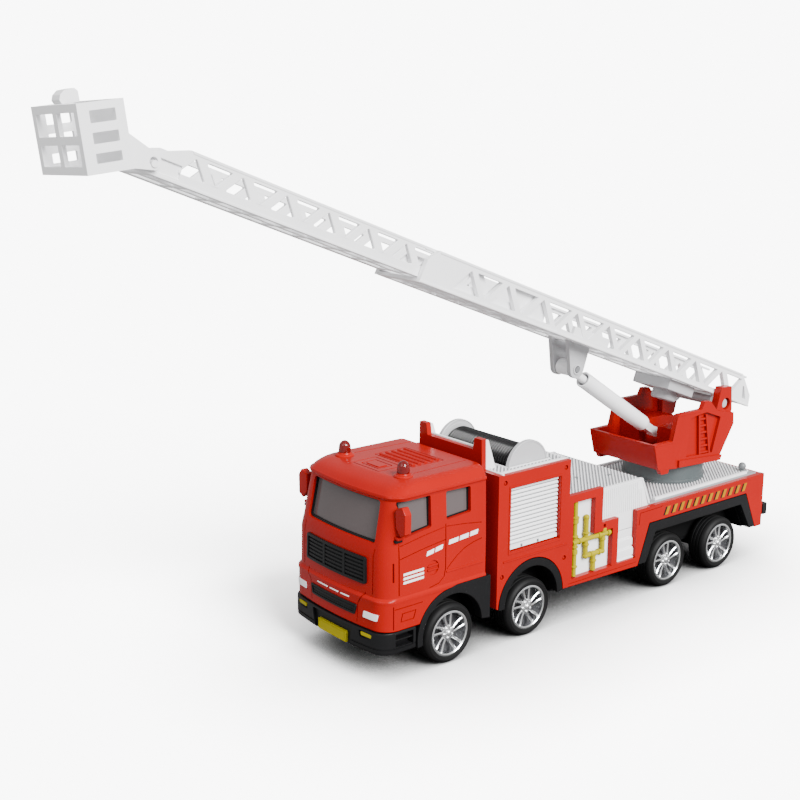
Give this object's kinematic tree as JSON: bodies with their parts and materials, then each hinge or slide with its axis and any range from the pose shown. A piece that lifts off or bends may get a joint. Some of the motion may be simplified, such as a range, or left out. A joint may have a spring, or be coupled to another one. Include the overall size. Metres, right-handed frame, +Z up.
{
  "type": "toy fire engine",
  "caption": "Toy ladder fire engine: red cab and body on black chassis, white slewing, rising and telescoping ladder with tilting rescue basket, rolling wheels and hose reel.",
  "frame": {"origin": "on the floor, below the middle of the object's width and length with the ladder as in the rest pose", "axes": "-Y towards the front of the truck, +X towards its left side, +Z up"},
  "size_m": [0.0576, 0.291, 0.1862],
  "materials": {
    "body_red": "gloss",
    "ladder_white": "satin",
    "deck_white": "satin",
    "trim_black": "satin",
    "tyre_black": "matte",
    "rim_chrome": "polished",
    "pin_steel": "satin",
    "window_smoke": "smoky",
    "beacon_red": "clear red",
    "pipe_yellow": "gloss",
    "plinth_grey": "satin",
    "reel_black": "gloss"
  },
  "bodies": {
    "truck": {"chassis": "trim_black", "chassis_screw_front": "pin_steel", "chassis_screw_rear": "pin_steel", "front_bumper": "trim_black", "rear_bumper": "trim_black", "rear_knob": "plinth_grey", "cab_shell": "body_red", "cab_windows": "window_smoke", "grille": "trim_black", "lower_grille": "trim_black", "beacon_left": "beacon_red", "beacon_right": "beacon_red", "body_shell": "body_red", "deck": "deck_white", "shutter_left": "deck_white", "shutter_right": "deck_white", "pump_pipes_left": "pipe_yellow", "pump_pipes_right": "pipe_yellow", "reel_cheek_left": "deck_white", "reel_cheek_right": "deck_white", "turntable_base": "plinth_grey", "front_arch_left": "trim_black", "front_arch_right": "trim_black", "middle_arch_left": "trim_black", "middle_arch_right": "trim_black", "rear_arch_left": "trim_black", "rear_arch_right": "trim_black"},
    "turret": {"turret_tub": "body_red", "turret_pivot": "pin_steel", "ladder_pin": "ladder_white"},
    "ladder": {"ladder_base": "ladder_white", "ladder_housing": "plinth_grey", "lift_eye_pin": "pin_steel"},
    "extension": {"ladder_extension": "ladder_white", "basket_pin": "pin_steel"},
    "basket": {"basket": "ladder_white", "basket_lamp": "ladder_white"},
    "lift_rod": {"lift_rod": "ladder_white"},
    "lift_barrel": {"lift_barrel": "ladder_white"},
    "hose_drum": {"hose_drum": "reel_black"},
    "wheels_1": {"axle_1": "pin_steel", "rim_1_left": "rim_chrome", "rim_1_right": "rim_chrome", "tyre_1_left": "tyre_black", "tyre_1_right": "tyre_black"},
    "wheels_2": {"axle_2": "pin_steel", "rim_2_left": "rim_chrome", "rim_2_right": "rim_chrome", "tyre_2_left": "tyre_black", "tyre_2_right": "tyre_black"},
    "wheels_3": {"axle_3": "pin_steel", "rim_3_left": "rim_chrome", "rim_3_right": "rim_chrome", "tyre_3_left": "tyre_black", "tyre_3_right": "tyre_black"},
    "wheels_4": {"axle_4": "pin_steel", "rim_4_left": "rim_chrome", "rim_4_right": "rim_chrome", "tyre_4_left": "tyre_black", "tyre_4_right": "tyre_black"}
  },
  "joints": [
    {"name": "turret_slew", "type": "hinge", "parent": "truck", "child": "turret", "pos_m": [0, 0.10674, 0.042], "axis": [0, 0, 1], "continuous": true},
    {"name": "ladder_elevation", "type": "hinge", "parent": "turret", "child": "ladder", "pos_m": [0, 0.12524, 0.0637], "axis": [-1, 0, 0], "range_deg": [-12, 24]},
    {"name": "ladder_extend", "type": "slide", "parent": "ladder", "child": "extension", "axis": [0, -0.9336, 0.3584], "range_m": [-0.095, 0.012]},
    {"name": "basket_tilt", "type": "hinge", "parent": "extension", "child": "basket", "pos_m": [0, -0.12308, 0.16631], "axis": [1, 0, 0], "range_deg": [-30, 35]},
    {"name": "lift_rod_pivot", "type": "hinge", "parent": "ladder", "child": "lift_rod", "pos_m": [0, 0.04942, 0.08606], "axis": [-1, 0, 0], "range_deg": [-3, 5.5]},
    {"name": "lift_barrel_slide", "type": "slide", "parent": "lift_rod", "child": "lift_barrel", "axis": [0, 0.8396, -0.5432], "range_m": [-0.0055, 0.0105]},
    {"name": "hose_drum_spin", "type": "hinge", "parent": "truck", "child": "hose_drum", "pos_m": [0, 0.01224, 0.0593], "axis": [1, 0, 0], "continuous": true},
    {"name": "wheels_1_spin", "type": "hinge", "parent": "truck", "child": "wheels_1", "pos_m": [0, -0.02726, 0.0104], "axis": [1, 0, 0], "continuous": true},
    {"name": "wheels_2_spin", "type": "hinge", "parent": "truck", "child": "wheels_2", "pos_m": [0, 0.00884, 0.0104], "axis": [1, 0, 0], "continuous": true},
    {"name": "wheels_3_spin", "type": "hinge", "parent": "truck", "child": "wheels_3", "pos_m": [0, 0.08284, 0.0104], "axis": [1, 0, 0], "continuous": true},
    {"name": "wheels_4_spin", "type": "hinge", "parent": "truck", "child": "wheels_4", "pos_m": [0, 0.11404, 0.0104], "axis": [1, 0, 0], "continuous": true}
  ],
  "couplings": [
    {"joint": "lift_rod_pivot", "follows": "ladder_elevation", "ratio": 0.2},
    {"joint": "lift_barrel_slide", "follows": "ladder_elevation", "m_per_rad": 0.023491}
  ]
}
